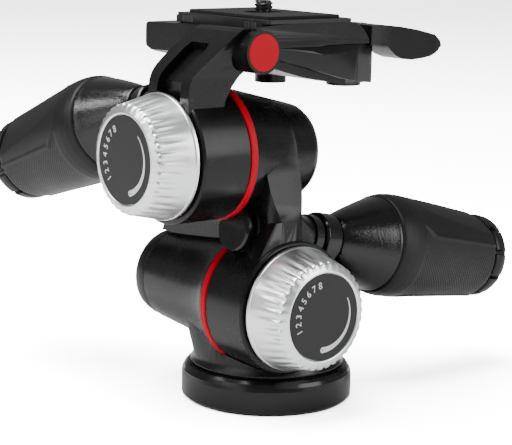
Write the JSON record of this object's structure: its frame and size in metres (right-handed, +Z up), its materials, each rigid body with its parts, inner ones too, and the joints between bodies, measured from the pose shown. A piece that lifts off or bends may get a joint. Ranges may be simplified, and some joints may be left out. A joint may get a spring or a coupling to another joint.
{
  "type": "three way pan tilt head",
  "caption": "Tripod head that pans and tilts about two crossed barrels, with friction knobs, twist-lock extending handles and a quick-release camera plate on top.",
  "frame": {"origin": "centre of the base disc's underside, on the pan axis", "axes": "+Z up along the pan axis; -Y is the front, where the lens points; the front tilt axis runs along X with its friction knob on the +X side"},
  "size_m": [0.1474, 0.159, 0.139],
  "materials": {
    "black_casting": "satin black paint on a die casting",
    "black_base": "semi-gloss black paint",
    "black_fitting": "semi-gloss black",
    "friction_rubber": "matt rubber",
    "plain_alloy": "turned",
    "steel": "plain turned steel",
    "brass": "machined",
    "friction_liner": "matt acetal",
    "vial": "clear acrylic with tinted spirit",
    "red_trim": "glossy red",
    "turned_aluminium": "satin turned and fluted",
    "knob_face": "satin charcoal",
    "gloss_black": "glossy black, finely pebbled",
    "grip_rubber": "matt rubber with fine relief",
    "black_plastic": "matt black",
    "plate_alloy": "satin dark grey"
  },
  "bodies": {
    "base": {"base_disc": "black_base", "base_pad": "friction_rubber", "tripod_plate": "plain_alloy", "tripod_plate_screws": "steel", "pan_bush": "brass", "pan_friction_ring": "friction_liner"},
    "pan": {"pan_housing": "black_casting", "pan_retaining_ring": "plain_alloy", "pan_brake_pad": "brass", "pan_level_vial": "vial", "lower_end_cap": "black_fitting", "lower_red_ring": "red_trim", "lower_tilt_shaft": "steel", "lower_brake_drum": "steel"},
    "pan_lock": {"pan_lock_knob": "black_fitting", "pan_lock_stud": "steel"},
    "middle": {"middle_frame": "black_casting", "lower_tilt_bush": "brass", "lower_clamp_shoes": "brass", "lower_clamp_cap": "black_fitting", "lower_clamp_washer": "gloss_black", "lower_friction_discs": "friction_liner", "upper_red_ring": "red_trim", "upper_tilt_shaft": "steel", "upper_brake_drum": "steel"},
    "lower_knob": {"lower_friction_knob": "turned_aluminium", "lower_knob_face": "knob_face", "lower_knob_nut": "brass", "lower_spring_washers": "steel"},
    "top": {"top_frame": "black_casting", "upper_tilt_bush": "brass", "upper_clamp_shoes": "brass", "upper_clamp_washer": "gloss_black", "upper_friction_discs": "friction_liner", "badge_disc": "red_trim", "platform_level_vials": "vial", "camera_plate": "plate_alloy", "camera_plate_pad": "friction_rubber", "lever_pivot_screw": "steel", "lever_spring": "steel", "trip_pin_spring": "steel"},
    "upper_knob": {"upper_friction_knob": "turned_aluminium", "upper_knob_face": "knob_face", "upper_knob_nut": "brass", "upper_spring_washers": "steel"},
    "right_handle": {"right_lock_rod": "steel", "right_collar": "black_fitting"},
    "right_grip": {"right_cone": "gloss_black", "right_sleeve": "grip_rubber", "right_grip_core": "black_plastic", "right_end_cap": "black_plastic"},
    "left_handle": {"left_lock_rod": "steel", "left_collar": "black_fitting"},
    "left_grip": {"left_cone": "gloss_black", "left_sleeve": "grip_rubber", "left_grip_core": "black_plastic", "left_end_cap": "black_plastic"},
    "lever": {"release_lever": "black_fitting"},
    "camera_screw": {"camera_screw": "black_fitting"},
    "trip_pin": {"trip_pin": "steel"}
  },
  "joints": [
    {"name": "pan", "type": "hinge", "parent": "base", "child": "pan", "pos_m": [0, 0, 0.012], "axis": [0, 0, 1], "continuous": true},
    {"name": "pan_lock_turn", "type": "hinge", "parent": "pan", "child": "pan_lock", "pos_m": [-0.02121, 0.02121, 0.0205], "axis": [-0.7071, 0.7071, 0], "range_deg": [-180, 180]},
    {"name": "front_tilt", "type": "hinge", "parent": "pan", "child": "middle", "pos_m": [0.0058, -0.0104, 0.0376], "axis": [1, 0, 0], "range_deg": [-25, 90]},
    {"name": "front_tilt_friction", "type": "hinge", "parent": "pan", "child": "lower_knob", "pos_m": [0.0058, -0.0104, 0.0376], "axis": [1, 0, 0], "range_deg": [-135, 135]},
    {"name": "right_handle_twist", "type": "hinge", "parent": "middle", "child": "right_handle", "pos_m": [0.011, 0.038, 0.0518], "axis": [0, 0.9816, -0.1908], "range_deg": [-90, 90]},
    {"name": "right_grip_slide", "type": "slide", "parent": "right_handle", "child": "right_grip", "axis": [0, 0.9816, -0.1908], "range_m": [0, 0.05]},
    {"name": "side_tilt", "type": "hinge", "parent": "middle", "child": "top", "pos_m": [0, -0.0252, 0.0885], "axis": [0, 1, 0], "range_deg": [-25, 90]},
    {"name": "side_tilt_friction", "type": "hinge", "parent": "middle", "child": "upper_knob", "pos_m": [0, -0.0252, 0.0885], "axis": [0, -1, 0], "range_deg": [-135, 135]},
    {"name": "left_handle_twist", "type": "hinge", "parent": "top", "child": "left_handle", "pos_m": [-0.0465, -0.035, 0.0936], "axis": [-0.9356, -0.0654, -0.3469], "range_deg": [-90, 90]},
    {"name": "left_grip_slide", "type": "slide", "parent": "left_handle", "child": "left_grip", "axis": [-0.9356, -0.0654, -0.3469], "range_m": [0, 0.05]},
    {"name": "plate_release", "type": "hinge", "parent": "top", "child": "lever", "pos_m": [0.01, 0.0237, 0.1275], "axis": [0, 0, 1], "range_deg": [0, 25], "stiffness_Nm_per_rad": 0.05, "springref_deg": -17.19},
    {"name": "camera_screw_turn", "type": "hinge", "parent": "top", "child": "camera_screw", "pos_m": [0.0008, -0.0052, 0.13], "axis": [0, 0, 1], "continuous": true},
    {"name": "trip_pin_press", "type": "slide", "parent": "top", "child": "trip_pin", "axis": [0, 0, 1], "range_m": [-0.0008, 0], "stiffness_N_per_m": 300, "springref_m": 0.002, "deforming": ["trip_pin_spring"]}
  ]
}
